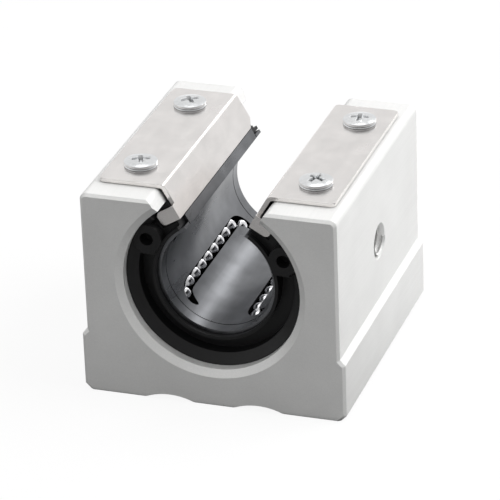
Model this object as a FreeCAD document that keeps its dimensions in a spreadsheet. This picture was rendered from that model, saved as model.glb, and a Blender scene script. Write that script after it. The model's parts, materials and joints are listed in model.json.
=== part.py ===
import FreeCAD, Part
import Sketcher
import math
import os

# Open linear bearing block for a 20 mm shaft.
# Frame: millimetres, +Z up, the bore runs along Y, and the front is at -Y.
# The origin is at the bottom centre of the mounting face.

document = FreeCAD.newDocument("linear_bearing_block")
sheet = document.addObject("Spreadsheet::Sheet", "sizes")

driving_sizes = (
    # housing, an extruded and machined aluminium block
    ("block_width", 48.0),
    ("block_length", 50.0),
    ("block_height", 38.2),
    ("base_height", 10.8),
    ("base_step", 0.97),
    ("base_chamfer", 1.0),
    ("end_chamfer", 0.5),
    ("foot_edge_chamfer", 0.15),
    ("shoulder_radius", 1.2),
    ("throat_lip_radius", 1.5),
    ("axis_height", 22.75),
    ("bore_radius", 16.0),
    ("mouth_chamfer_width", 1.25),
    ("mouth_chamfer_depth", 0.95),
    ("throat_half_angle", 30.0),
    ("throat_setback", 1.3),
    ("foot_groove_inner", 3.5),
    ("foot_groove_width", 9.25),
    ("foot_groove_depth", 1.0),
    ("mount_hole_pitch_across", 35.0),
    ("mount_hole_pitch_along", 35.0),
    ("mount_hole_diameter", 5.0),
    ("mount_hole_depth", 12.0),
    ("drill_point_angle", 118.0),
    ("side_port_diameter", 5.0),
    ("side_port_chamfer", 0.8),
    # bearing insert
    ("ring_end_inset", 2.5),
    ("ring_length", 4.1),
    ("ring_clearance", 0.03),
    ("insert_clearance", 0.06),
    ("shell_wall", 2.94),
    ("retainer_clearance", 0.05),
    ("insert_end_setback", 0.9),
    ("sleeve_bore_radius", 10.15),
    ("sleeve_wall", 0.6),
    ("sleeve_end_setback", 0.25),
    ("sleeve_lip_reach", 12.1),
    ("sleeve_groove", 0.2),
    ("seal_band_length", 2.3),
    # ball circuits
    ("circuit_count", 4),
    ("first_row_angle", 141.5),
    ("circuit_pitch_angle", 75.0),
    ("circuit_tilt", 4.0),
    ("ball_radius", 1.5875),
    ("ball_row_radius", 11.62),
    ("channel_clearance", 0.0625),
    ("sleeve_slot_clearance", 0.25),
    ("turn_radius", 3.2),
    ("track_end_wall", 1.35),
    ("ball_pitch", 3.3),
    ("row_start", 0.05),
    ("turn_ball_gap", 3.65),
    # black resin end rings
    ("ring_turn_angle", 3.0),
    ("ring_lip_width", 0.1),
    ("ring_slope_depth", 1.2),
    ("ring_rim_width", 1.9),
    ("ring_recess_depth", 3.5),
    ("ring_recess_top", 3.4),
    ("ring_inner_wall", 0.6),
    ("ring_inner_drop", 0.7),
    ("ring_relief_base", 4.4),
    ("ring_relief_rim", 1.1),
    ("ring_relief_depth", 2.0),
    ("boss_offset", 12.35),
    ("boss_rise", 6.2),
    ("boss_radius", 2.65),
    ("boss_hole_radius", 1.2),
    ("boss_hole_depth", 2.5),
    ("notch_clearance", 0.3),
    # folded side plates
    ("plate_thickness", 0.8),
    ("plate_end_setback", 5.25),
    ("plate_reach", 21.3),
    ("plate_corner_radius", 1.0),
    ("plate_bend_radius", 0.5),
    ("flange_tip_reach", 12.3),
    ("flange_notch_length", 2.5),
    ("flange_notch_height", 1.4),
    ("tongue_height", 2.7),
    ("tongue_length", 1.15),
    ("tab_width", 3.8),
    ("tab_corner_radius", 0.9),
    # plate screws, M3 pan heads with a cross recess
    ("screw_pitch_across", 31.8),
    ("screw_pitch_along", 26.0),
    ("screw_hole_radius", 1.7),
    ("screw_shank_radius", 1.45),
    ("screw_thread_clearance", 0.05),
    ("screw_length", 6.0),
    ("screw_tap_depth", 8.0),
    ("screw_head_radius", 2.95),
    ("screw_head_rim", 0.85),
    ("screw_head_height", 1.35),
    ("screw_shank_chamfer", 0.4),
    ("cross_length", 3.3),
    ("cross_width", 0.8),
    ("cross_depth", 1.0),
)

for row_number, (alias, number) in enumerate(driving_sizes, start=1):
    sheet.set(f"A{row_number}", alias)
    sheet.set(f"B{row_number}", str(number))
    sheet.setAlias(f"B{row_number}", alias)
document.recompute()


class Size:
    """A length or angle that carries its number and the sheet expression that gives it."""

    def __init__(self, number, text):
        self.number = float(number)
        self.text = text

    def joined(self, other, sign, number):
        other = as_size(other)
        return Size(number(self.number, other.number), f"({self.text} {sign} {other.text})")

    def __add__(self, other):
        return self.joined(other, "+", lambda a, b: a + b)

    def __sub__(self, other):
        return self.joined(other, "-", lambda a, b: a - b)

    def __mul__(self, other):
        return self.joined(other, "*", lambda a, b: a * b)

    def __truediv__(self, other):
        return self.joined(other, "/", lambda a, b: a / b)

    def __rsub__(self, other):
        return as_size(other) - self

    def __rmul__(self, other):
        return as_size(other) * self

    def __neg__(self):
        return Size(-self.number, f"(-1 * {self.text})")


def as_size(value):
    return value if isinstance(value, Size) else Size(value, str(value))


def wave(name, function, angle):
    return Size(function(math.radians(angle.number)), f"{name}({angle.text} * 1 deg)")


def sine(angle):
    return wave("sin", math.sin, angle)


def cosine(angle):
    return wave("cos", math.cos, angle)


def tangent(angle):
    return wave("tan", math.tan, angle)


def root(value):
    return Size(math.sqrt(value.number), f"sqrt({value.text})")


size = {alias: Size(number, f"sizes.{alias}") for alias, number in driving_sizes}

# Shared places that several pieces are fitted to.
axis_z = size["axis_height"]
half_width = size["block_width"] / 2
half_length = size["block_length"] / 2
block_top = size["block_height"]
plate_top = block_top + size["plate_thickness"]
ring_front = half_length - size["ring_end_inset"]
ring_back = ring_front - size["ring_length"]
shell_radius = size["bore_radius"] - size["insert_clearance"]
shell_bore_radius = shell_radius - size["shell_wall"]
retainer_radius = shell_bore_radius - size["retainer_clearance"]
sleeve_radius = size["sleeve_bore_radius"] + size["sleeve_wall"]
retainer_bore_radius = sleeve_radius + size["retainer_clearance"]
plate_front = half_length - size["plate_end_setback"]
tab_front = plate_front + size["tongue_length"]
notch_floor = tab_front - size["plate_thickness"]
channel_radius = size["ball_radius"] + size["channel_clearance"]
slot_radius = size["ball_radius"] + size["sleeve_slot_clearance"]
half_run = ring_back - size["track_end_wall"] - channel_radius - size["turn_radius"]
loaded_row = -(size["ball_row_radius"] * sine(size["circuit_tilt"]))


def radial_point(reach, setback, side=1):
    """The sketch point at a reach along the throat's radial plane and a setback out from it."""
    angle = size["throat_half_angle"]
    across = (reach * sine(angle) + setback * cosine(angle)) * side
    up = axis_z + reach * cosine(angle) - setback * sine(angle)
    return across, up


def throat_points(setback):
    """The corners of the V that opens the throat, with its walls set back from the radial planes."""
    apex = axis_z - setback / sine(size["throat_half_angle"])
    top = block_top + block_top
    spread = (top - apex) * tangent(size["throat_half_angle"])
    return ((as_size(0), apex), (spread, top), (-spread, top))


# ---------------------------------------------------------------- sketch helpers


def new_body(label):
    return document.addObject("PartDesign::Body", label)


def new_sketch(body, label, role, offset=None, turn=None):
    """A sketch on an origin plane, set out from it and turned about the bore axis when asked."""
    sketch = body.newObject("Sketcher::SketchObject", label)
    plane = next(item for item in body.Origin.OriginFeatures if item.Role == role)
    sketch.AttachmentSupport = [(plane, "")]
    sketch.MapMode = "FlatFace"
    if turn is not None:
        about = FreeCAD.Rotation(FreeCAD.Vector(0, 0, 1), turn.number)
        sketch.AttachmentOffset = FreeCAD.Placement(FreeCAD.Vector(), about)
        sketch.setExpression("AttachmentOffset.Rotation.Angle", f"{turn.text} * 1 deg")
        sketch.setExpression("AttachmentOffset.Base.x", (axis_z * sine(turn)).text)
        sketch.setExpression("AttachmentOffset.Base.y", (axis_z - axis_z * cosine(turn)).text)
    if offset is not None:
        sketch.setExpression("AttachmentOffset.Base.z", offset.text)
    return sketch


def place_point(sketch, geometry, vertex, point):
    """Ties one vertex to the sketch origin by its two coordinates."""
    for kind, value in (("DistanceX", point[0]), ("DistanceY", point[1])):
        if abs(value.number) < 1e-9:
            on_axis = "PointOnObject"
            line = -2 if kind == "DistanceX" else -1
            sketch.addConstraint(Sketcher.Constraint(on_axis, geometry, vertex, line))
            continue
        index = sketch.addConstraint(Sketcher.Constraint(kind, -1, 1, geometry, vertex, value.number))
        sketch.setExpression(f"Constraints[{index}]", value.text)


def vector(point):
    return FreeCAD.Vector(point[0].number, point[1].number, 0)


def draw_polygon(sketch, points):
    """A closed outline of straight lines through the points."""
    count = len(points)
    lines = []
    for start, end in zip(points, points[1:] + points[:1]):
        lines.append(sketch.addGeometry(Part.LineSegment(vector(start), vector(end))))
    for place in range(count):
        following = lines[(place + 1) % count]
        sketch.addConstraint(Sketcher.Constraint("Coincident", lines[place], 2, following, 1))
    for line, point in zip(lines, points):
        place_point(sketch, line, 1, point)


def draw_circle(sketch, centre, radius):
    up = FreeCAD.Vector(0, 0, 1)
    circle = sketch.addGeometry(Part.Circle(vector(centre), up, radius.number))
    index = sketch.addConstraint(Sketcher.Constraint("Radius", circle, radius.number))
    sketch.setExpression(f"Constraints[{index}]", radius.text)
    place_point(sketch, circle, 3, centre)


def draw_ring_sector(sketch, inner, outer, level, below):
    """The part of a ring round the bore axis that lies below, or above, a level line."""
    rise = level - axis_z
    centre = (as_size(0), axis_z)
    ends = []
    arcs = []
    for radius in (inner, outer):
        reach = root(radius * radius - rise * rise)
        right = (reach, level)
        left = (-reach, level)
        angle = math.atan2(rise.number, reach.number)
        span = (math.pi - angle, 2 * math.pi + angle) if below else (angle, math.pi - angle)
        circle = Part.Circle(vector(centre), FreeCAD.Vector(0, 0, 1), radius.number)
        arc = sketch.addGeometry(Part.ArcOfCircle(circle, *span))
        index = sketch.addConstraint(Sketcher.Constraint("Radius", arc, radius.number))
        sketch.setExpression(f"Constraints[{index}]", radius.text)
        place_point(sketch, arc, 3, centre)
        ends.append((left, right) if below else (right, left))
        arcs.append(arc)
    for side in (0, 1):
        line = sketch.addGeometry(Part.LineSegment(vector(ends[0][side]), vector(ends[1][side])))
        vertex = side + 1
        sketch.addConstraint(Sketcher.Constraint("Coincident", line, 1, arcs[0], vertex))
        sketch.addConstraint(Sketcher.Constraint("Coincident", line, 2, arcs[1], vertex))
        sketch.addConstraint(Sketcher.Constraint("Horizontal", line))
        index = sketch.addConstraint(Sketcher.Constraint("DistanceY", -1, 1, line, 1, level.number))
        sketch.setExpression(f"Constraints[{index}]", level.text)


def add_feature(body, kind, label, sketch, length=None, side="One side", reverse=False):
    """A pad or a pocket of a sketch. Without a length, a pocket goes through everything both ways."""
    feature = body.newObject(kind, label)
    feature.Profile = sketch
    feature.SideType = side
    feature.Reversed = reverse
    if length is None:
        feature.Type = "ThroughAll"
    else:
        feature.setExpression("Length", length.text)
    return feature


def pad(body, label, sketch, length, side="One side", reverse=False):
    return add_feature(body, "PartDesign::Pad", label, sketch, length, side, reverse)


def pocket(body, label, sketch, length, side="One side", reverse=False):
    return add_feature(body, "PartDesign::Pocket", label, sketch, length, side, reverse)


def cut_through(body, label, sketch):
    return pocket(body, label, sketch, None, "Symmetric")


def cut_round_bore(body, label, outlines):
    """Turned grooves: closed outlines, drawn along the bore and above its axis, swept round it."""
    sketch = new_sketch(body, f"{label}_outline", "YZ_Plane")
    ends = ((-half_length, axis_z), (half_length, axis_z))
    axis_line = sketch.addGeometry(Part.LineSegment(vector(ends[0]), vector(ends[1])), True)
    for vertex, point in enumerate(ends, start=1):
        place_point(sketch, axis_line, vertex, point)
    for outline in outlines:
        draw_polygon(sketch, outline)
    groove = body.newObject("PartDesign::Groove", label)
    groove.Profile = sketch
    groove.ReferenceAxis = (sketch, ["Axis0"])
    groove.Angle = 360


def edges_where(feature, wanted):
    document.recompute()
    found = []
    for number, edge in enumerate(feature.Shape.Edges, start=1):
        if wanted(edge):
            found.append(f"Edge{number}")
    return found


def dress(body, kind, label, base, edges, value):
    """A fillet or an equal chamfer on the named edges of a feature."""
    feature = body.newObject(kind, label)
    feature.Base = (base, edges)
    prop = "Radius" if kind.endswith("Fillet") else "Size"
    feature.setExpression(prop, value.text)
    return feature


def near(first, second):
    return abs(first - second) < 1e-4


def along_bore(edge):
    """A straight edge that runs along Y."""
    box = edge.BoundBox
    return box.YLength > 1 and box.XLength < 1e-4 and box.ZLength < 1e-4


# ---------------------------------------------------------------- housing


def housing_outline():
    """The extruded section: a wide base with a 45 degree step up to the narrower body."""
    chamfer = size["base_chamfer"]
    step = size["base_step"]
    right = (
        (half_width - chamfer, as_size(0)),
        (half_width, chamfer),
        (half_width, size["base_height"]),
        (half_width - step, size["base_height"] + step),
        (half_width - step, block_top),
    )
    left = tuple((-across, up) for across, up in reversed(right))
    return right + left


def draw_foot_groove(sketch, side):
    """A shallow arc hollow, as wide as its chord, that lightens one half of the mounting face."""
    depth = size["foot_groove_depth"]
    chord = size["foot_groove_width"] / 2
    radius = (chord * chord + depth * depth) / (depth * 2)
    middle = (size["foot_groove_inner"] + chord) * side
    centre = (middle, depth - radius)
    right = (middle + chord, as_size(0))
    left = (middle - chord, as_size(0))
    half_span = math.asin((chord / radius).number)
    circle = Part.Circle(vector(centre), FreeCAD.Vector(0, 0, 1), radius.number)
    arc = sketch.addGeometry(Part.ArcOfCircle(circle, math.pi / 2 - half_span, math.pi / 2 + half_span))
    base = sketch.addGeometry(Part.LineSegment(vector(left), vector(right)))
    sketch.addConstraint(Sketcher.Constraint("Coincident", arc, 1, base, 2))
    sketch.addConstraint(Sketcher.Constraint("Coincident", arc, 2, base, 1))
    place_point(sketch, arc, 3, centre)
    place_point(sketch, base, 2, right)
    sketch.addConstraint(Sketcher.Constraint("PointOnObject", base, 1, -1))


def build_housing():
    body = new_body("housing")
    outline = new_sketch(body, "housing_outline", "XZ_Plane")
    draw_polygon(outline, housing_outline())
    block = pad(body, "housing_block", outline, size["block_length"], "Symmetric")

    def at_block_top(edge):
        return along_bore(edge) and near(edge.BoundBox.ZMax, block_top.number)

    shoulders = edges_where(block, at_block_top)
    shoulder_radius = size["shoulder_radius"]
    rounded = dress(body, "PartDesign::Fillet", "housing_shoulders", block, shoulders, shoulder_radius)

    def at_end(edge):
        return edge.BoundBox.YLength < 1e-4

    foot_edges = edges_where(rounded, lambda edge: at_end(edge) and edge.BoundBox.ZMax < 1e-4)
    foot_chamfer = size["foot_edge_chamfer"]
    eased = dress(body, "PartDesign::Chamfer", "housing_foot_edges", rounded, foot_edges, foot_chamfer)
    end_edges = edges_where(
        eased, lambda edge: at_end(edge) and edge.BoundBox.ZMax > foot_chamfer.number * 2
    )
    dress(body, "PartDesign::Chamfer", "housing_end_chamfers", eased, end_edges, size["end_chamfer"])

    bore = new_sketch(body, "bore_circle", "XZ_Plane")
    draw_circle(bore, (as_size(0), axis_z), size["bore_radius"])
    cut_through(body, "bore", bore)
    rim = axis_z + size["bore_radius"]
    mouths = []
    for end in (1, -1):
        face = half_length * end
        inner = (half_length - size["mouth_chamfer_depth"]) * end
        mouths.append(((face, rim), (face, rim + size["mouth_chamfer_width"]), (inner, rim)))
    cut_round_bore(body, "bore_mouths", mouths)

    throat = new_sketch(body, "throat_outline", "XZ_Plane")
    draw_polygon(throat, throat_points(size["throat_setback"]))
    throat_cut = cut_through(body, "throat", throat)
    lips = edges_where(
        throat_cut, lambda edge: at_block_top(edge) and abs(edge.BoundBox.XMax) < half_width.number / 2
    )
    dress(body, "PartDesign::Fillet", "throat_lips", throat_cut, lips, size["throat_lip_radius"])

    grooves = new_sketch(body, "foot_groove_arcs", "XZ_Plane")
    for side in (1, -1):
        draw_foot_groove(grooves, side)
    cut_through(body, "foot_grooves", grooves)

    mounts = new_sketch(body, "mount_hole_centres", "XY_Plane")
    screws = new_sketch(body, "screw_hole_circles", "XY_Plane", block_top)
    for across in (1, -1):
        for along in (1, -1):
            draw_circle(
                mounts,
                (size["mount_hole_pitch_across"] / 2 * across, size["mount_hole_pitch_along"] / 2 * along),
                size["mount_hole_diameter"] / 2,
            )
            draw_circle(
                screws,
                (size["screw_pitch_across"] / 2 * across, size["screw_pitch_along"] / 2 * along),
                size["screw_shank_radius"] + size["screw_thread_clearance"],
            )
    pocket(body, "screw_holes", screws, size["screw_tap_depth"])
    document.recompute()
    holes = body.newObject("PartDesign::Hole", "mount_holes")
    holes.Profile = mounts
    holes.Reversed = True
    holes.DepthType = "Dimension"
    holes.DrillPoint = "Angled"
    holes.setExpression("Diameter", size["mount_hole_diameter"].text)
    holes.setExpression("Depth", size["mount_hole_depth"].text)
    holes.setExpression("DrillPointAngle", size["drill_point_angle"].text)

    side_face = half_width - size["base_step"]
    port = new_sketch(body, "side_port_circle", "YZ_Plane", side_face)
    draw_circle(port, (as_size(0), axis_z), size["side_port_diameter"] / 2)
    port_cut = pocket(body, "side_port", port, side_face)
    port_edge = edges_where(
        port_cut,
        lambda edge: near(edge.BoundBox.XMin, side_face.number)
        and near(edge.BoundBox.XMax, side_face.number)
        and near(edge.BoundBox.YLength, size["side_port_diameter"].number),
    )
    dress(body, "PartDesign::Chamfer", "side_port_mouth", port_cut, port_edge, size["side_port_chamfer"])
    return body


# ---------------------------------------------------------------- bearing insert


def along_y(y, across=0.0, up=0.0):
    """A placement whose local Z runs along the bore from y, with a cylinder's seam at the top."""
    turn = FreeCAD.Rotation(FreeCAD.Vector(1, 1, 1), -120)
    return FreeCAD.Placement(FreeCAD.Vector(across, y, up), turn)


def bore_cylinder(label, radius, start, end):
    cylinder = document.addObject("Part::Cylinder", label)
    cylinder.Placement = along_y(start.number, 0, axis_z.number)
    cylinder.setExpression("Radius", radius.text)
    cylinder.setExpression("Height", (end - start).text)
    cylinder.setExpression("Placement.Base.y", start.text)
    cylinder.setExpression("Placement.Base.z", axis_z.text)
    return cylinder


def throat_wedge(label, setback):
    """A solid V, longer than the block, that opens a ring of the insert."""
    sketch = document.addObject("Sketcher::SketchObject", f"{label}_outline")
    sketch.Placement = FreeCAD.Placement(
        FreeCAD.Vector(0, 0, 0), FreeCAD.Rotation(FreeCAD.Vector(1, 0, 0), 90)
    )
    draw_polygon(sketch, throat_points(setback))
    wedge = document.addObject("Part::Extrusion", label)
    wedge.Base = sketch
    wedge.DirMode = "Normal"
    wedge.Solid = True
    wedge.Symmetric = True
    wedge.setExpression("LengthFwd", (size["block_length"] * 2).text)
    return wedge


def cut(label, base, tool):
    result = document.addObject("Part::Cut", label)
    result.Base = base
    result.Tool = tool
    return result


def fuse(label, shapes):
    result = document.addObject("Part::MultiFuse", label)
    result.Shapes = shapes
    return result


def open_ring(label, outer, inner, start, end, wedge):
    """A tube round the bore axis with the throat cut out of it."""
    solid = bore_cylinder(f"{label}_outside", outer, start, end)
    hole = bore_cylinder(f"{label}_inside", inner, start, end)
    tube = cut(f"{label}_tube", solid, hole)
    return cut(f"{label}_open", tube, wedge)


def circuit_angle(circuit):
    """The angle of a circuit's loaded row, from +X round the bore."""
    return size["first_row_angle"].number + circuit * size["circuit_pitch_angle"].number


def circuit_frame(circuit):
    """The placement of a circuit's plane: local X runs round the bore, local Y along it, local Z outwards.

    The plane stands square to the radius a little past the loaded row, so that the row and the start of
    each turn keep close to the shaft, and the return row lies deeper.
    """
    normal_angle = math.radians(circuit_angle(circuit) + size["circuit_tilt"].number)
    outward = FreeCAD.Vector(math.cos(normal_angle), 0, math.sin(normal_angle))
    around = FreeCAD.Vector(-math.sin(normal_angle), 0, math.cos(normal_angle))
    along = outward.cross(around)
    distance = (size["ball_row_radius"] * cosine(size["circuit_tilt"])).number
    matrix = FreeCAD.Matrix()
    for column, axis in enumerate((around, along, outward), start=1):
        setattr(matrix, f"A1{column}", axis.x)
        setattr(matrix, f"A2{column}", axis.y)
        setattr(matrix, f"A3{column}", axis.z)
    frame = FreeCAD.Placement(matrix)
    frame.Base = FreeCAD.Vector(0, 0, axis_z.number) + outward * distance
    return frame


def build_channel(circuit, label, radius):
    """The closed racetrack that one circuit of balls runs in, as a tube of the given radius."""
    frame = circuit_frame(circuit)
    pieces = []
    for name, row in (("loaded_run", loaded_row), ("return_run", loaded_row + size["turn_radius"] * 2)):
        run = document.addObject("Part::Cylinder", f"{label}_{name}_{circuit}")
        run.setExpression("Radius", radius.text)
        run.setExpression("Height", (half_run * 2).text)
        run.Placement = frame.multiply(along_y(-half_run.number, row.number, 0))
        pieces.append(run)
    for name, sign in (("front_turn", -1), ("rear_turn", 1)):
        turn = document.addObject("Part::Torus", f"{label}_{name}_{circuit}")
        turn.setExpression("Radius1", size["turn_radius"].text)
        turn.setExpression("Radius2", radius.text)
        turn.Angle3 = 180
        spin = FreeCAD.Rotation(FreeCAD.Vector(0, 0, 1), 0 if sign > 0 else 180)
        centre = FreeCAD.Vector((loaded_row + size["turn_radius"]).number, sign * half_run.number, 0)
        turn.Placement = frame.multiply(FreeCAD.Placement(centre, spin))
        pieces.append(turn)
    return fuse(f"{label}_{circuit}", pieces)


def ball_places():
    """Local places of the balls that show in one circuit: the loaded row and one ball in each turn."""
    row = loaded_row.number
    turn = size["turn_radius"].number
    run_end = half_run.number
    pitch = size["ball_pitch"].number
    first = size["row_start"].number - run_end
    count = 1 + int((run_end - first) / pitch)
    last = first + (count - 1) * pitch
    places = [(row, first + number * pitch) for number in range(count)]
    for sign, spare in ((-1, first + run_end), (1, run_end - last)):
        angle = (size["turn_ball_gap"].number - spare) / turn
        places.append((row + turn * (1 - math.cos(angle)), sign * (run_end + turn * math.sin(angle))))
    return places


def build_balls(circuit, label):
    frame = circuit_frame(circuit)
    balls = []
    for number, (around, along) in enumerate(ball_places(), start=1):
        ball = document.addObject("Part::Sphere", f"ball_{circuit}_{number}")
        ball.setExpression("Radius", size["ball_radius"].text)
        place = FreeCAD.Vector(around, along, 0)
        ball.Placement = frame.multiply(FreeCAD.Placement(place, FreeCAD.Rotation()))
        balls.append(ball)
    row = document.addObject("Part::Compound", label)
    row.Links = balls
    return row


def build_insert():
    """The open shell, the retainer and the sleeve that hold four circuits of balls."""
    circuits = range(int(size["circuit_count"].number))
    tracks = fuse("ball_tracks", [build_channel(circuit, "track", channel_radius) for circuit in circuits])
    slots = fuse("sleeve_slots", [build_channel(circuit, "slot", slot_radius) for circuit in circuits])
    end_wedge = throat_wedge("insert_throat", size["insert_end_setback"])
    sleeve_wedge = throat_wedge("sleeve_throat", size["sleeve_end_setback"])
    shell = open_ring("bearing_shell", shell_radius, shell_bore_radius, -ring_back, ring_back, end_wedge)
    retainer = open_ring(
        "ball_retainer", retainer_radius, retainer_bore_radius, -ring_back, ring_back, end_wedge
    )
    nodes = [cut("bearing_shell", shell, tracks), cut("ball_retainer", retainer, tracks)]

    sleeve_end = ring_back - size["sleeve_groove"] / 2
    sleeve_bore = size["sleeve_bore_radius"]
    wall = open_ring("inner_sleeve", sleeve_radius, sleeve_bore, -sleeve_end, sleeve_end, sleeve_wedge)
    slotted = cut("inner_sleeve_slotted", wall, slots)
    lips = [sleeve_lip(side, sleeve_end) for side in (1, -1)]
    nodes.append(fuse("inner_sleeve", [slotted] + lips))

    band_start = ring_back + size["sleeve_groove"] / 2
    band_end = band_start + size["seal_band_length"]
    for label, start, end in (("front", -band_end, -band_start), ("rear", band_start, band_end)):
        band = open_ring(f"{label}_seal_band", sleeve_radius, sleeve_bore, start, end, sleeve_wedge)
        band.Label = f"{label}_seal_band"
        nodes.append(band)
    labels = ("upper_left_balls", "lower_left_balls", "lower_right_balls", "upper_right_balls")
    for circuit, label in enumerate(labels):
        nodes.append(build_balls(circuit, label))
    return nodes


def sleeve_lip(side, sleeve_end):
    """The outward fold of the sleeve along one wall of the throat."""
    overlap = size["sleeve_wall"] / 2
    start = sleeve_radius - overlap
    lip = document.addObject("Part::Box", f"sleeve_lip_{'right' if side > 0 else 'left'}")
    thickness = size["insert_end_setback"] - size["sleeve_end_setback"] - size["retainer_clearance"]
    lip.setExpression("Length", thickness.text)
    lip.setExpression("Width", (sleeve_end * 2).text)
    lip.setExpression("Height", (size["sleeve_lip_reach"] - start).text)
    setback = size["sleeve_end_setback"]
    near_setback = setback if side > 0 else setback + thickness
    across, up = radial_point(start, near_setback, side)
    turn = FreeCAD.Rotation(FreeCAD.Vector(0, 1, 0), side * size["throat_half_angle"].number)
    lip.Placement = FreeCAD.Placement(FreeCAD.Vector(across.number, -sleeve_end.number, up.number), turn)
    return lip


# ---------------------------------------------------------------- end rings


def build_end_ring(label, turned):
    """A moulded resin ring with a deep lower recess, two bosses and notches for the plate tabs."""
    body = new_body(label)
    centre = (as_size(0), axis_z)
    outer = size["bore_radius"] - size["ring_clearance"]
    inner = sleeve_radius + size["retainer_clearance"]
    wall = inner + size["ring_inner_wall"]

    blank = new_sketch(body, f"{label}_blank", "XZ_Plane", ring_front)
    draw_circle(blank, centre, outer)
    draw_circle(blank, centre, inner)
    pad(body, f"{label}_ring", blank, size["ring_length"], reverse=True)

    step = new_sketch(body, f"{label}_inner_step", "XZ_Plane", ring_front)
    draw_circle(step, centre, wall)
    pocket(body, f"{label}_inner_drop", step, size["ring_inner_drop"])

    rim = axis_z + outer - size["ring_lip_width"]
    rim_foot = axis_z + outer - size["ring_rim_width"]
    slope_end = size["ring_slope_depth"] - ring_front
    slope = ((-ring_front, rim), (-ring_front, rim_foot), (slope_end, rim_foot))
    cut_round_bore(body, f"{label}_slope", (slope,))

    turn = -size["ring_turn_angle"]
    recess = new_sketch(body, f"{label}_recess_outline", "XZ_Plane", ring_front, turn)
    recess_top = axis_z + size["ring_recess_top"]
    draw_ring_sector(recess, wall, outer - size["ring_rim_width"], recess_top, True)
    pocket(body, f"{label}_recess", recess, size["ring_recess_depth"])

    relief = new_sketch(body, f"{label}_relief_outline", "XZ_Plane", ring_front, turn)
    relief_base = axis_z + size["ring_relief_base"]
    draw_ring_sector(relief, wall, outer - size["ring_relief_rim"], relief_base, False)
    pocket(body, f"{label}_relief", relief, size["ring_relief_depth"])

    bosses = new_sketch(body, f"{label}_boss_circles", "XZ_Plane", ring_front, turn)
    holes = new_sketch(body, f"{label}_boss_holes", "XZ_Plane", ring_front, turn)
    trim = new_sketch(body, f"{label}_trim_circles", "XZ_Plane", ring_front)
    for side in (1, -1):
        place = (size["boss_offset"] * side, axis_z + size["boss_rise"])
        draw_circle(bosses, place, size["boss_radius"])
        draw_circle(holes, place, size["boss_hole_radius"])
    pad(body, f"{label}_bosses", bosses, size["ring_relief_depth"], reverse=True)
    draw_circle(trim, centre, outer)
    draw_circle(trim, centre, outer + size["boss_radius"])
    cut_through(body, f"{label}_trim", trim)
    pocket(body, f"{label}_holes", holes, size["boss_hole_depth"])

    notch = new_sketch(body, f"{label}_notch_outline", "XZ_Plane", ring_front)
    clearance = size["notch_clearance"]
    low = size["flange_tip_reach"] - clearance
    high = outer + size["boss_radius"]
    wide = size["tab_width"] + clearance
    for side in (1, -1):
        corners = (
            radial_point(low, as_size(0), side),
            radial_point(high, as_size(0), side),
            radial_point(high, wide, side),
            radial_point(low, wide, side),
        )
        draw_polygon(notch, corners if side > 0 else corners[::-1])
    pocket(body, f"{label}_notches", notch, ring_front - notch_floor)

    throat = new_sketch(body, f"{label}_throat_outline", "XZ_Plane")
    draw_polygon(throat, throat_points(size["insert_end_setback"]))
    cut_through(body, f"{label}_throat", throat)
    if turned:
        body.Placement = FreeCAD.Placement(FreeCAD.Vector(), FreeCAD.Rotation(FreeCAD.Vector(0, 0, 1), 180))
    return body


# ---------------------------------------------------------------- side plates


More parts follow.
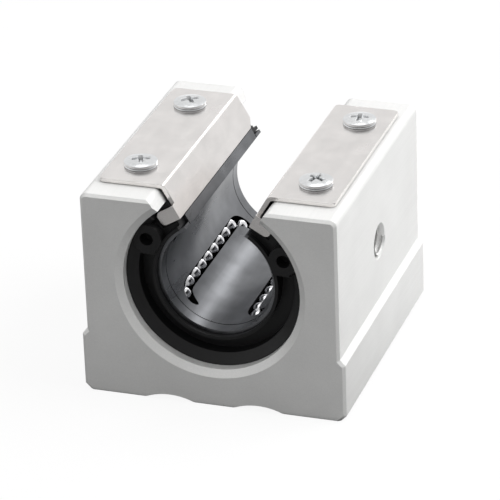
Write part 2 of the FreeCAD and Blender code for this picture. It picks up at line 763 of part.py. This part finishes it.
def build_side_plate(label, side):
    """A folded sheet: flat on the block, a flange down the throat wall and a tab over the front ring."""
    body = new_body(label)
    sheet_wall = size["plate_thickness"]
    tip = size["flange_tip_reach"]
    slope = tangent(size["throat_half_angle"])
    inner_apex = axis_z - sheet_wall / sine(size["throat_half_angle"])
    outline = new_sketch(body, f"{label}_outline", "XZ_Plane")
    points = (
        (size["plate_reach"] * side, plate_top),
        ((plate_top - axis_z) * slope * side, plate_top),
        radial_point(tip, as_size(0), side),
        radial_point(tip, sheet_wall, side),
        ((block_top - inner_apex) * slope * side, block_top),
        (size["plate_reach"] * side, block_top),
    )
    draw_polygon(outline, points if side < 0 else points[::-1])
    folded = pad(body, f"{label}_sheet", outline, plate_front * 2, "Symmetric")

    def bend_edge(level, across):
        return lambda edge: (
            along_bore(edge)
            and near(edge.BoundBox.ZMax, level.number)
            and near(edge.BoundBox.XMax, across.number * side)
        )

    outside = edges_where(folded, bend_edge(plate_top, (plate_top - axis_z) * slope))
    bend_outside = size["plate_bend_radius"] + sheet_wall
    rounded = dress(body, "PartDesign::Fillet", f"{label}_bend_outside", folded, outside, bend_outside)
    inside = edges_where(rounded, bend_edge(block_top, (block_top - inner_apex) * slope))
    bend_inside = size["plate_bend_radius"]
    bent = dress(body, "PartDesign::Fillet", f"{label}_bend_inside", rounded, inside, bend_inside)
    corners = edges_where(
        bent,
        lambda edge: near(edge.BoundBox.ZLength, sheet_wall.number)
        and edge.BoundBox.XLength < 1e-4
        and near(abs(edge.BoundBox.XMax), size["plate_reach"].number),
    )
    dress(body, "PartDesign::Fillet", f"{label}_corners", bent, corners, size["plate_corner_radius"])

    tongue = new_sketch(body, f"{label}_tongue_outline", "XZ_Plane", tab_front)
    top = tip + size["tongue_height"]
    tongue_points = (
        radial_point(tip, as_size(0), side),
        radial_point(top, as_size(0), side),
        radial_point(top, sheet_wall, side),
        radial_point(tip, sheet_wall, side),
    )
    draw_polygon(tongue, tongue_points)
    pad(body, f"{label}_tongue", tongue, size["tongue_length"], reverse=True)
    tab = new_sketch(body, f"{label}_tab_outline", "XZ_Plane", tab_front)
    tab_points = (
        radial_point(tip, as_size(0), side),
        radial_point(top, as_size(0), side),
        radial_point(top, size["tab_width"], side),
        radial_point(tip, size["tab_width"], side),
    )
    draw_polygon(tab, tab_points)
    folded_tab = pad(body, f"{label}_tab", tab, sheet_wall, reverse=True)
    tab_ends = tuple(radial_point(reach, size["tab_width"], side) for reach in (tip, top))
    tab_corners = edges_where(
        folded_tab,
        lambda edge: near(edge.BoundBox.YLength, sheet_wall.number)
        and any(
            near(edge.BoundBox.XMax, across.number) and near(edge.BoundBox.ZMax, up.number)
            for across, up in tab_ends
        ),
    )
    tab_radius = size["tab_corner_radius"]
    dress(body, "PartDesign::Fillet", f"{label}_tab_corners", folded_tab, tab_corners, tab_radius)

    notch = new_sketch(body, f"{label}_rear_corner", "YZ_Plane")
    tip_low = radial_point(tip, sheet_wall)[1]
    tip_high = radial_point(tip + size["flange_notch_height"], as_size(0))[1]
    corner = (
        (plate_front - size["flange_notch_length"], tip_low),
        (plate_front, tip_high),
        (plate_front, tip_low),
    )
    draw_polygon(notch, corner)
    cut_through(body, f"{label}_rear_corner_cut", notch)

    holes = new_sketch(body, f"{label}_hole_circles", "XY_Plane", block_top)
    for along in (1, -1):
        place = (size["screw_pitch_across"] / 2 * side, size["screw_pitch_along"] / 2 * along)
        draw_circle(holes, place, size["screw_hole_radius"])
    cut_through(body, f"{label}_holes", holes)
    return body


# ---------------------------------------------------------------- plate screws


def build_screw(label, across, along, turn):
    """A pan head machine screw with a domed head and a cross recess, seated on its plate."""
    body = new_body(label)
    profile = new_sketch(body, f"{label}_profile", "XZ_Plane")
    zero = as_size(0)
    head = size["screw_head_radius"]
    rim = size["screw_head_rim"]
    height = size["screw_head_height"]
    shank = size["screw_shank_radius"]
    chamfer = size["screw_shank_chamfer"]
    rise = height - rim
    dome_radius = (head * head + rise * rise) / (rise * 2)
    points = (
        (zero, height),
        (zero, -size["screw_length"]),
        (shank - chamfer, -size["screw_length"]),
        (shank, chamfer - size["screw_length"]),
        (shank, zero),
        (head, zero),
        (head, rim),
    )
    lines = []
    for start, end in zip(points, points[1:]):
        lines.append(profile.addGeometry(Part.LineSegment(vector(start), vector(end))))
    centre = (zero, height - dome_radius)
    start_angle = math.atan2((rim - centre[1]).number, head.number)
    circle = Part.Circle(vector(centre), FreeCAD.Vector(0, 0, 1), dome_radius.number)
    dome = profile.addGeometry(Part.ArcOfCircle(circle, start_angle, math.pi / 2))
    for place in range(len(lines) - 1):
        profile.addConstraint(Sketcher.Constraint("Coincident", lines[place], 2, lines[place + 1], 1))
    profile.addConstraint(Sketcher.Constraint("Coincident", lines[-1], 2, dome, 1))
    profile.addConstraint(Sketcher.Constraint("Coincident", dome, 2, lines[0], 1))
    for line, point in zip(lines, points):
        place_point(profile, line, 1, point)
    place_point(profile, lines[-1], 2, points[-1])
    profile.addConstraint(Sketcher.Constraint("PointOnObject", dome, 3, -2))
    turned = body.newObject("PartDesign::Revolution", f"{label}_turned")
    turned.Profile = profile
    turned.ReferenceAxis = (profile, ["V_Axis"])
    turned.Angle = 360

    cross = new_sketch(body, f"{label}_cross", "XY_Plane", height)
    long = size["cross_length"] / 2
    short = size["cross_width"] / 2
    quarter = ((long, short), (short, short), (short, long))
    outline = ()
    for _ in range(4):
        outline += quarter
        quarter = tuple((-second, first) for first, second in quarter)
    draw_polygon(cross, outline)
    pocket(body, f"{label}_cross_recess", cross, size["cross_depth"])
    body.Placement = FreeCAD.Placement(
        FreeCAD.Vector(across.number, along.number, plate_top.number),
        FreeCAD.Rotation(FreeCAD.Vector(0, 0, 1), turn),
    )
    return body


def build_screws():
    """Four screws, each left where its last turn ended."""
    turns = {("front", "left"): 20, ("front", "right"): 65, ("rear", "left"): 35, ("rear", "right"): 10}
    screws = []
    for (end, hand), turn in turns.items():
        across = size["screw_pitch_across"] / 2 * (1 if hand == "right" else -1)
        along = size["screw_pitch_along"] / 2 * (1 if end == "rear" else -1)
        screws.append(build_screw(f"{end}_{hand}_screw", across, along, turn))
    return screws


# ---------------------------------------------------------------- assembly and export


def fail_if_broken(nodes):
    broken = [item.Name for item in document.Objects if "Invalid" in item.State or "Error" in item.State]
    for node in nodes:
        if node.Shape.isNull() or not node.Shape.isValid() or not node.Shape.Solids:
            broken.append(node.Label)
    if broken:
        raise RuntimeError(f"these objects failed: {broken}")


def main():
    nodes = [build_housing()]
    nodes += build_insert()
    nodes += [build_end_ring("front_end_ring", False), build_end_ring("rear_end_ring", True)]
    nodes += [build_side_plate("left_side_plate", -1), build_side_plate("right_side_plate", 1)]
    nodes += build_screws()
    document.recompute()
    fail_if_broken(nodes)
    os.makedirs("parts", exist_ok=True)
    for node in nodes:
        node.Shape.exportStep(f"parts/{node.Label}.step")
        box = node.Shape.BoundBox
        lowest = (round(box.XMin, 2), round(box.YMin, 2), round(box.ZMin, 2))
        highest = (round(box.XMax, 2), round(box.YMax, 2), round(box.ZMax, 2))
        print(node.Label, len(node.Shape.Solids), "solids from", lowest, "to", highest)


main()
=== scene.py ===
import json
import math

import bmesh
import bpy
from mathutils import Matrix, Vector


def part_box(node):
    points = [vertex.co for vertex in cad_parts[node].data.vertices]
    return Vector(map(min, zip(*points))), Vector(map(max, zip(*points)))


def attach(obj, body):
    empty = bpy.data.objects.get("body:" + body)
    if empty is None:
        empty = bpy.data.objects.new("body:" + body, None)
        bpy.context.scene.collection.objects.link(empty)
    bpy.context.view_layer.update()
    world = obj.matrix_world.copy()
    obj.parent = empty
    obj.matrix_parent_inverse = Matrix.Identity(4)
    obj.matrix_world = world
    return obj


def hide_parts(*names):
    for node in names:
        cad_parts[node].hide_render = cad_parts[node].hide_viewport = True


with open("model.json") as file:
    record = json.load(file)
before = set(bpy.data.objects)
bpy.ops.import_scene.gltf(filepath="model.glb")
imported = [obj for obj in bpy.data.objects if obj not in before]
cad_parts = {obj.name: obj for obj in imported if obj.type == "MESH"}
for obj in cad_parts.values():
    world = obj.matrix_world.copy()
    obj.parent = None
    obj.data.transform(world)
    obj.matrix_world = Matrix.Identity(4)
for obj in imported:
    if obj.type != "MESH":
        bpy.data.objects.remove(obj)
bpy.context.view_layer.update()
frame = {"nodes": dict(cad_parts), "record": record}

mm = 0.001
nodes = frame["nodes"]
print("frame loaded:", len(nodes), "nodes")


# camera

shot = {
    "azimuth": 19.15,
    "elevation": 26.46,
    "roll": -2.13,
    "distance": 616 * mm,
    "aimHeight": 20 * mm,
    "slideRight": -0.89 * mm,
    "slideUp": -1.66 * mm,
    "lens": 249.6,
}


def buildCamera():
    azimuth = math.radians(shot["azimuth"])
    elevation = math.radians(shot["elevation"])
    roll = math.radians(shot["roll"])
    back = Vector((
        math.sin(azimuth) * math.cos(elevation),
        -math.cos(azimuth) * math.cos(elevation),
        math.sin(elevation),
    ))
    level = Vector((math.cos(azimuth), math.sin(azimuth), 0))
    right = math.cos(roll) * level + math.sin(roll) * back.cross(level)
    up = back.cross(right)
    aim = Vector((0, 0, shot["aimHeight"]))
    place = aim + back * shot["distance"] + right * shot["slideRight"] + up * shot["slideUp"]
    lens = bpy.data.cameras.new("productCamera")
    lens.lens = shot["lens"]
    lens.clip_start = 0.01
    camera = bpy.data.objects.new("productCamera", lens)
    bpy.context.scene.collection.objects.link(camera)
    camera.matrix_world = Matrix.Translation(place) @ Matrix((right, up, back)).transposed().to_4x4()
    bpy.context.scene.camera = camera


buildCamera()
print("camera placed")


# shader node helpers

fineDetail = 4.0
broadDetail = 2.0
noiseRoughness = 0.6
noiseSpan = (0.3, 0.7)
creviceSpan = (0.2, 0.65)
raysPerPoint = 6


def addNode(tree, kind, **settings):
    node = tree.nodes.new(kind)
    for name, value in settings.items():
        setattr(node, name, value)
    return node


def setInputs(node, values):
    for name, value in values.items():
        node.inputs[name].default_value = value


def wire(tree, source, output, target, entry):
    tree.links.new(source.outputs[output], target.inputs[entry])


def newGroup(name, inputs, outputs):
    group = bpy.data.node_groups.new(name, "ShaderNodeTree")
    for label, kind, value in inputs:
        socket = group.interface.new_socket(name=label, in_out="INPUT", socket_type=kind)
        if value is not None:
            socket.default_value = value
    for label in outputs:
        group.interface.new_socket(name=label, in_out="OUTPUT", socket_type="NodeSocketFloat")
    return group, addNode(group, "NodeGroupInput"), addNode(group, "NodeGroupOutput")


def useGroup(tree, group, values):
    node = addNode(tree, "ShaderNodeGroup", node_tree=group)
    setInputs(node, values)
    return node


def buildStretchedNoise():
    # noise in millimetres, pulled out along one axis for drawn, brushed and extruded metal
    group, start, end = newGroup(
        "stretchedNoise",
        (
            ("Vector", "NodeSocketVector", None),
            ("Stretch", "NodeSocketVector", (1, 1, 1)),
            ("Detail", "NodeSocketFloat", fineDetail),
            ("Low", "NodeSocketFloat", 0.0),
            ("High", "NodeSocketFloat", 1.0),
        ),
        ("Value",),
    )
    inMillimetres = addNode(group, "ShaderNodeVectorMath", operation="SCALE")
    setInputs(inMillimetres, {"Scale": 1 / mm})
    stretched = addNode(group, "ShaderNodeVectorMath", operation="MULTIPLY")
    noise = addNode(group, "ShaderNodeTexNoise")
    setInputs(noise, {"Scale": 1.0, "Roughness": noiseRoughness})
    spread = addNode(group, "ShaderNodeMapRange")
    setInputs(spread, {"From Min": noiseSpan[0], "From Max": noiseSpan[1]})
    wire(group, start, "Vector", inMillimetres, 0)
    wire(group, inMillimetres, 0, stretched, 0)
    wire(group, start, "Stretch", stretched, 1)
    wire(group, stretched, 0, noise, "Vector")
    wire(group, start, "Detail", noise, "Detail")
    wire(group, noise, "Fac", spread, "Value")
    wire(group, start, "Low", spread, "To Min")
    wire(group, start, "High", spread, "To Max")
    wire(group, spread, "Result", end, "Value")
    return group


stretchedNoise = buildStretchedNoise()


def newMaterial(name, shader):
    material = bpy.data.materials.new(name)
    material.use_nodes = True
    tree = material.node_tree
    principled = tree.nodes["Principled BSDF"]
    setInputs(principled, shader)
    place = addNode(tree, "ShaderNodeTexCoord")
    return material, tree, principled, place


def addNoise(tree, place, stretch, limits, detail=fineDetail):
    low, high = limits
    noise = useGroup(
        tree, stretchedNoise, {"Stretch": stretch, "Low": low, "High": high, "Detail": detail}
    )
    wire(tree, place, "Object", noise, "Vector")
    return noise


def tint(tree, principled, colour, tones):
    # the base colour, multiplied by every tone value
    source = tones[0]
    for tone in tones[1:]:
        product = addNode(tree, "ShaderNodeMath", operation="MULTIPLY")
        wire(tree, source, 0, product, 0)
        wire(tree, tone, 0, product, 1)
        source = product
    shaded = addNode(tree, "ShaderNodeVectorMath", operation="SCALE")
    shaded.inputs[0].default_value = colour
    wire(tree, source, 0, shaded, "Scale")
    wire(tree, shaded, 0, principled, "Base Color")


def addBump(tree, principled, height, strength, distance, easing=0.0):
    # fine relief, over edges that are broken by the easing radius
    bump = addNode(tree, "ShaderNodeBump")
    setInputs(bump, {"Strength": strength, "Distance": distance})
    wire(tree, height, "Value", bump, "Height")
    if easing:
        edge = addNode(tree, "ShaderNodeBevel", samples=raysPerPoint)
        setInputs(edge, {"Radius": easing})
        wire(tree, edge, "Normal", bump, "Normal")
    wire(tree, bump, "Normal", principled, "Normal")


def addPaintedCreviceShade(tree, reach, darkest):
    # painted shade: narrow gaps and recesses darken in the base colour, by how closely other surfaces
    # hide them
    hollow = addNode(tree, "ShaderNodeAmbientOcclusion", samples=raysPerPoint)
    setInputs(hollow, {"Distance": reach})
    spread = addNode(tree, "ShaderNodeMapRange")
    setInputs(spread, {
        "From Min": creviceSpan[0], "From Max": creviceSpan[1], "To Min": darkest,
    })
    wire(tree, hollow, "AO", spread, "Value")
    return spread


# materials, one for each finish

aluminiumFinish = {
    "colour": (0.84, 0.84, 0.83),
    "metallic": 0.35,
    "cloud": (0.08, 0.08, 0.08),
    "cloudTones": (0.97, 1.03),
    "extrusionLines": (3.0, 0.02, 3.0),
    "lineTones": (0.98, 1.02),
    "grain": (6.0, 6.0, 6.0),
    "grainTones": (0.97, 1.03),
    "roughness": (0.42, 0.52),
    "relief": 0.15,
    "reliefDepth": 0.02 * mm,
    "easing": 0.12 * mm,
    "gapReach": 1.6 * mm,
    "gapShade": 0.25,
}


def machinedAluminium():
    look = aluminiumFinish
    material, tree, principled, place = newMaterial("machinedAluminium", {"Metallic": look["metallic"]})
    cloud = addNoise(tree, place, look["cloud"], look["cloudTones"], broadDetail)
    lines = addNoise(tree, place, look["extrusionLines"], look["lineTones"])
    grain = addNoise(tree, place, look["grain"], look["grainTones"])
    # painted shade: the aluminium darkens in its gaps and recesses
    paintedGapShade = addPaintedCreviceShade(tree, look["gapReach"], look["gapShade"])
    tint(tree, principled, look["colour"], (cloud, lines, grain, paintedGapShade))
    gloss = addNoise(tree, place, look["grain"], look["roughness"])
    wire(tree, gloss, "Value", principled, "Roughness")
    addBump(tree, principled, grain, look["relief"], look["reliefDepth"], look["easing"])
    return material


resinFinish = {
    "colour": (0.009, 0.009, 0.0095),
    "specular": 0.35,
    "cloud": (0.4, 0.4, 0.4),
    "cloudTones": (0.85, 1.15),
    "grain": (9, 9, 9),
    "grainTones": (0.8, 1.2),
    "glossCloud": (2, 2, 2),
    "roughness": (0.34, 0.46),
    "relief": 0.25,
    "reliefDepth": 0.02 * mm,
    "easing": 0.15 * mm,
}


def blackResin():
    look = resinFinish
    material, tree, principled, place = newMaterial(
        "blackResin", {"Specular IOR Level": look["specular"]}
    )
    cloud = addNoise(tree, place, look["cloud"], look["cloudTones"])
    grain = addNoise(tree, place, look["grain"], look["grainTones"])
    tint(tree, principled, look["colour"], (cloud, grain))
    gloss = addNoise(tree, place, look["glossCloud"], look["roughness"])
    wire(tree, gloss, "Value", principled, "Roughness")
    addBump(tree, principled, grain, look["relief"], look["reliefDepth"], look["easing"])
    return material


anySteel = {
    "cloud": (0.15, 0.15, 0.15),
    "relief": 0.08,
    "reliefDepth": 0.01 * mm,
    "gapShade": 0.12,
}

steelFinishes = {
    "hardened_steel": {
        "name": "hardenedSteel",
        "colour": (0.5, 0.51, 0.53),
        "stretch": (8, 0.3, 8),
        "roughness": (0.26, 0.36),
        "cloudiness": 0.06,
        "streaking": 0.08,
        "gapReach": None,
    },
    "drawn_steel": {
        "name": "drawnSteel",
        "colour": (0.215, 0.22, 0.232),
        "stretch": (0.25, 0.05, 0.25),
        "roughness": (0.24, 0.38),
        "cloudiness": 0.2,
        "streaking": 0.16,
        "gapReach": 0.6 * mm,
    },
    "bearing_balls": {
        "name": "bearingBalls",
        "colour": (0.9, 0.9, 0.92),
        "stretch": (0.5, 0.5, 0.5),
        "roughness": (0.08, 0.12),
        "cloudiness": 0.02,
        "streaking": 0.02,
        "gapReach": 1.1 * mm,
    },
    "satin_sheet": {
        "name": "satinSheet",
        "colour": (0.9, 0.872, 0.855),
        "stretch": (0.3, 0.12, 0.3),
        "roughness": (0.2, 0.28),
        "cloudiness": 0.045,
        "streaking": 0.04,
        "gapReach": 0.5 * mm,
    },
    "zinc_screw": {
        "name": "zincScrew",
        "colour": (0.86, 0.87, 0.88),
        "stretch": (2, 2, 2),
        "roughness": (0.12, 0.22),
        "cloudiness": 0.05,
        "streaking": 0.06,
        "gapReach": 0.9 * mm,
    },
}


def steel(look):
    material, tree, principled, place = newMaterial(look["name"], {"Metallic": 1.0})
    clouding = (1 - look["cloudiness"], 1 + look["cloudiness"])
    streaking = (1 - look["streaking"], 1 + look["streaking"])
    cloud = addNoise(tree, place, anySteel["cloud"], clouding, broadDetail)
    streaks = addNoise(tree, place, look["stretch"], streaking)
    tones = [cloud, streaks]
    # painted shade: where a reach is given, the steel darkens in its gaps and recesses
    if look["gapReach"]:
        tones.append(addPaintedCreviceShade(tree, look["gapReach"], anySteel["gapShade"]))
    tint(tree, principled, look["colour"], tones)
    gloss = addNoise(tree, place, look["stretch"], look["roughness"])
    wire(tree, gloss, "Value", principled, "Roughness")
    addBump(tree, principled, streaks, anySteel["relief"], anySteel["reliefDepth"])
    return material


finishes = {"machined_aluminium": machinedAluminium(), "black_resin": blackResin()}
for slotName, look in steelFinishes.items():
    finishes[slotName] = steel(look)
print("materials made:", len(finishes))

slotOf = {part["node"]: part["material_slot"] for part in frame["record"]["subparts"]}
for nodeName, node in nodes.items():
    node.data.materials.clear()
    node.data.materials.append(finishes[slotOf[nodeName]])


# pieces that stand for CAD nodes

weldDistance = 0.0001 * mm
flatAngle = 0.05


def makeObject(name, shape, material):
    mesh = bpy.data.meshes.new(name)
    shape.to_mesh(mesh)
    shape.free()
    mesh.materials.append(material)
    made = bpy.data.objects.new(name, mesh)
    bpy.context.scene.collection.objects.link(made)
    return made


def mergedCopy(nodeName):
    # a welded copy of a CAD mesh, whose flat areas are single faces
    shape = bmesh.new()
    shape.from_mesh(nodes[nodeName].data)
    bmesh.ops.remove_doubles(shape, verts=shape.verts[:], dist=weldDistance)
    bmesh.ops.dissolve_limit(
        shape, angle_limit=math.radians(flatAngle), verts=shape.verts[:], edges=shape.edges[:]
    )
    return shape


def finishPiece(name, nodeName, shape, look):
    # smooth all over, or with its sharp edges rounded where a look is given
    piece = makeObject(name, shape, finishes[slotOf[nodeName]])
    piece.data.shade_smooth()
    if look:
        piece.data.set_sharp_from_angle(angle=math.radians(look["sharpAngle"]))
        edges = piece.modifiers.new("easedEdges", "BEVEL")
        edges.limit_method = "ANGLE"
        edges.angle_limit = math.radians(look["sharpAngle"])
        edges.width = look["rounding"]
        edges.segments = look["segments"]
        edges.use_clamp_overlap = False
        edges.harden_normals = True
    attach(piece, "root")
    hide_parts(nodeName)


plateLook = {"rounding": 0.07 * mm, "segments": 3, "sharpAngle": 35}
finishPiece("leftPlate", "left_side_plate", mergedCopy("left_side_plate"), plateLook)
finishPiece("rightPlate", "right_side_plate", mergedCopy("right_side_plate"), plateLook)
print("side plates dressed")

ballLook = {"radius": 1.5875 * mm, "subdivisions": 4}


def ballCentres(nodeName):
    # the middle of every separate ball in a row, from front to rear
    row = mergedCopy(nodeName)
    centres = []
    unseen = set(row.verts)
    while unseen:
        front = [unseen.pop()]
        ball = list(front)
        while front:
            point = front.pop()
            for edge in point.link_edges:
                other = edge.other_vert(point)
                if other in unseen:
                    unseen.remove(other)
                    front.append(other)
                    ball.append(other)
        centres.append(Vector([
            (min(point.co[axis] for point in ball) + max(point.co[axis] for point in ball)) / 2
            for axis in range(3)
        ]))
    row.free()
    return sorted(centres, key=lambda centre: centre.y)


def polishBalls(name, nodeName):
    shape = bmesh.new()
    for centre in ballCentres(nodeName):
        bmesh.ops.create_icosphere(
            shape, subdivisions=ballLook["subdivisions"], radius=ballLook["radius"],
            matrix=Matrix.Translation(centre),
        )
    finishPiece(name, nodeName, shape, None)


for level in ("upper", "lower"):
    for hand in ("left", "right"):
        polishBalls(level + hand.capitalize() + "Row", level + "_" + hand + "_balls")
print("balls polished")

screwLook = {
    "rounding": 0.07 * mm,
    "segments": 3,
    "sharpAngle": 35,
    "recessDepth": 1.0 * mm,
    "depthTolerance": 0.02 * mm,
    "recessReach": 1.9 * mm,
    "recessTaper": 0.62,
    "grooveHeights": (0.22 * mm, 0.34 * mm, 0.46 * mm),
    "grooveTolerance": 0.001 * mm,
    "grooveInside": 2.8 * mm,
    "grooveScale": 0.93,
}


def narrow(shape, axis, share, points):
    # draws the points towards an upright axis
    bmesh.ops.scale(shape, vec=(share, share, 1), space=Matrix.Translation(-axis), verts=points)


def dressScrew(name, nodeName):
    look = screwLook
    shape = mergedCopy(nodeName)
    low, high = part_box(nodeName)
    axis = Vector(((low[0] + high[0]) / 2, (low[1] + high[1]) / 2, 0))
    # the cross recess narrows towards its floor, as a driver's point does
    floorLevel = high[2] - look["recessDepth"]
    floorPoints = [
        point for point in shape.verts
        if abs(point.co.z - floorLevel) < look["depthTolerance"]
        and (point.co - axis).xy.length < look["recessReach"]
    ]
    narrow(shape, axis, look["recessTaper"], floorPoints)
    # a shallow groove runs round the rim, just above the plate
    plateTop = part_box("left_side_plate")[1][2]
    for height in look["grooveHeights"]:
        bmesh.ops.bisect_plane(
            shape, geom=shape.verts[:] + shape.edges[:] + shape.faces[:], dist=weldDistance,
            plane_co=(0, 0, plateTop + height), plane_no=(0, 0, 1),
        )
    middle = plateTop + look["grooveHeights"][1]
    groovePoints = [
        point for point in shape.verts
        if abs(point.co.z - middle) < look["grooveTolerance"]
        and (point.co - axis).xy.length > look["grooveInside"]
    ]
    narrow(shape, axis, look["grooveScale"], groovePoints)
    finishPiece(name, nodeName, shape, look)


for end in ("front", "rear"):
    for hand in ("left", "right"):
        dressScrew(end + hand.capitalize() + "Screw", end + "_" + hand + "_screw")
print("screws dressed")


threadLook = {
    "pitch": 1.0 * mm,
    "halfWidth": 0.4 * mm,
    "rootRadius": 2.53 * mm,
    "crestRadius": 2.27 * mm,
    "stepsPerTurn": 24,
    "start": 1.0 * mm,
    "portTurns": 5,
    "footTurns": 9,
}


def cutThread(name, mouth, inward, turns):
    # a ridge that climbs the wall of a hole, from its mouth inward
    look = threadLook
    shape = bmesh.new()
    across = Vector((0, 1, 0))
    foot = mouth + inward * look["start"]
    corners = [
        shape.verts.new(foot + across * look["rootRadius"] - inward * look["halfWidth"]),
        shape.verts.new(foot + across * look["crestRadius"]),
        shape.verts.new(foot + across * look["rootRadius"] + inward * look["halfWidth"]),
    ]
    profile = shape.faces.new(corners)
    bmesh.ops.spin(
        shape, geom=[profile, *profile.edges, *corners], cent=foot, axis=inward,
        dvec=inward * look["pitch"] / look["stepsPerTurn"],
        angle=2 * math.pi * turns, steps=look["stepsPerTurn"] * turns,
    )
    bmesh.ops.recalc_face_normals(shape, faces=shape.faces[:])
    piece = makeObject(name, shape, finishes["machined_aluminium"])
    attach(piece, "root")


mounts = {mount["name"]: mount for mount in frame["record"]["mounts"]}
portHeight = mounts["side_port"]["pos_m"][2]
# measured from the foot, the widest part of the housing
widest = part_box("housing")[1][0]
portMouth = Vector((widest, 0, portHeight))
cutThread("sidePortThread", portMouth, Vector((-1, 0, 0)), threadLook["portTurns"])
footSpacing = mounts["base_holes"]["dims"]
acrossHalf = footSpacing["spacing_x_mm"] * mm / 2
alongHalf = footSpacing["spacing_y_mm"] * mm / 2
for end, along in (("front", -alongHalf), ("rear", alongHalf)):
    for hand, across in (("Left", -acrossHalf), ("Right", acrossHalf)):
        corner = Vector((across, along, 0))
        cutThread(end + hand + "FootThread", corner, Vector((0, 0, 1)), threadLook["footTurns"])
print("threads cut")


# floor, world and lamps

worldLook = {
    "strength": 0.46,
    "dimSide": (0.45, -0.89, 0.0),
    "dimStart": -0.05,
    "dimEnd": 0.75,
    "dimShade": 0.1,
}

floorLook = {
    "size": 8.0,
    "drop": 0.02 * mm,
    "shade": 0.2,
    "seenShade": 0.95,
    "mirroredShade": 0.12,
    "shadowShare": 0.1,
    "fadeStart": 0.08,
    "fadeEnd": -0.03,
}

lampLooks = {
    "key": {"power": 3.8, "place": (0.4, 0.16, 0.42), "size": (0.5, 0.5), "mirrored": False},
    "top": {"power": 0.5, "place": (-0.06, 0.12, 0.62), "size": (0.42, 0.42), "mirrored": True},
    "strip": {"power": 0.75, "place": (0.15, 0.86, 0.52), "size": (0.14, 0.7), "mirrored": True},
    "fill": {"power": 1.05, "place": (-0.1, -0.55, 0.5), "size": (0.6, 0.6), "mirrored": False},
}


def seenByRays(tree, room):
    # 1 where it is looked at, and the room's own shade where it is mirrored
    rays = addNode(tree, "ShaderNodeLightPath")
    mirrored = addNode(tree, "ShaderNodeMath", operation="MULTIPLY")
    direct = addNode(tree, "ShaderNodeMath", operation="MAXIMUM")
    seen = addNode(tree, "ShaderNodeMath", operation="MAXIMUM")
    wire(tree, rays, "Is Glossy Ray", mirrored, 0)
    wire(tree, room, "Result", mirrored, 1)
    wire(tree, rays, "Is Camera Ray", direct, 0)
    wire(tree, rays, "Is Transmission Ray", direct, 1)
    wire(tree, direct, 0, seen, 0)
    wire(tree, mirrored, 0, seen, 1)
    return seen


def addRange(tree, source, output, limits, **settings):
    spread = addNode(tree, "ShaderNodeMapRange", **settings)
    setInputs(spread, limits)
    wire(tree, source, output, spread, "Value")
    return spread


def paleFloor():
    look = floorLook
    dim = worldLook["dimShade"]
    material = bpy.data.materials.new("paleFloor")
    material.use_nodes = True
    tree = material.node_tree
    tree.nodes.clear()
    place = addNode(tree, "ShaderNodeTexCoord")
    axes = addNode(tree, "ShaderNodeSeparateXYZ")
    wire(tree, place, "Object", axes, 0)
    room = addRange(
        tree, axes, "Y", {"From Min": look["fadeEnd"], "From Max": look["fadeStart"], "To Min": dim},
        interpolation_type="SMOOTHSTEP",
    )
    seen = seenByRays(tree, room)
    # in the metal, the floor darkens towards the camera's side
    inMetal = addRange(
        tree, room, "Result",
        {"From Min": dim, "To Min": look["mirroredShade"], "To Max": look["shade"]},
    )
    rays = addNode(tree, "ShaderNodeLightPath")
    plain = addRange(tree, rays, "Is Glossy Ray", {"To Min": look["shade"]})
    wire(tree, inMetal, "Result", plain, "To Max")
    shade = addRange(tree, seen, 0, {"To Max": look["seenShade"]})
    wire(tree, plain, "Result", shade, "To Min")
    matte = addNode(tree, "ShaderNodeBsdfDiffuse")
    wire(tree, shade, "Result", matte, "Color")
    # where it is looked at, most of the floor shines white, and only the rest takes shadows
    share = addNode(tree, "ShaderNodeMath", operation="MULTIPLY")
    setInputs(share, {1: 1 - look["shadowShare"]})
    wire(tree, seen, 0, share, 0)
    white = addNode(tree, "ShaderNodeEmission")
    mixed = addNode(tree, "ShaderNodeMixShader")
    out = addNode(tree, "ShaderNodeOutputMaterial")
    wire(tree, share, 0, mixed, "Fac")
    wire(tree, matte, 0, mixed, 1)
    wire(tree, white, 0, mixed, 2)
    wire(tree, mixed, 0, out, "Surface")
    return material


def buildFloor():
    # just under the feet, so that the two faces don't flicker in one plane
    shape = bmesh.new()
    bmesh.ops.create_grid(
        shape, x_segments=1, y_segments=1, size=floorLook["size"] / 2,
        matrix=Matrix.Translation((0, 0, -floorLook["drop"])),
    )
    floor = makeObject("floor", shape, paleFloor())


def buildWorld():
    # white, with a dim side where the camera stands, for the metal to mirror
    look = worldLook
    world = bpy.data.worlds.new("studioWorld")
    bpy.context.scene.world = world
    world.use_nodes = True
    tree = world.node_tree
    tree.nodes.clear()
    place = addNode(tree, "ShaderNodeTexCoord")
    facing = addNode(tree, "ShaderNodeVectorMath", operation="DOT_PRODUCT")
    setInputs(facing, {1: look["dimSide"]})
    wire(tree, place, "Generated", facing, 0)
    room = addRange(
        tree, facing, "Value",
        {
            "From Min": look["dimStart"], "From Max": look["dimEnd"],
            "To Min": 1.0, "To Max": look["dimShade"],
        },
        interpolation_type="SMOOTHSTEP",
    )
    seen = seenByRays(tree, room)
    level = addRange(tree, seen, 0, {"To Min": look["strength"], "To Max": 1.0})
    light = addNode(tree, "ShaderNodeBackground")
    out = addNode(tree, "ShaderNodeOutputWorld")
    wire(tree, level, "Result", light, "Strength")
    wire(tree, light, 0, out, "Surface")


def addLamp(name, look):
    lamp = bpy.data.lights.new(name + "Lamp", "AREA")
    lamp.shape = "RECTANGLE"
    lamp.energy = look["power"]
    lamp.size, lamp.size_y = look["size"]
    holder = bpy.data.objects.new(name + "Lamp", lamp)
    holder.location = look["place"]
    # the top and strip lamps show in the metal, the key and fill lamps only light it
    holder.visible_glossy = look["mirrored"]
    aim = Vector((0, 0, shot["aimHeight"])) - holder.location
    holder.rotation_euler = aim.to_track_quat("-Z", "Y").to_euler()
    bpy.context.scene.collection.objects.link(holder)


buildFloor()
buildWorld()
for lampName, lampLook in lampLooks.items():
    addLamp(lampName, lampLook)
bpy.context.scene.view_settings.view_transform = "Standard"
print("studio built")
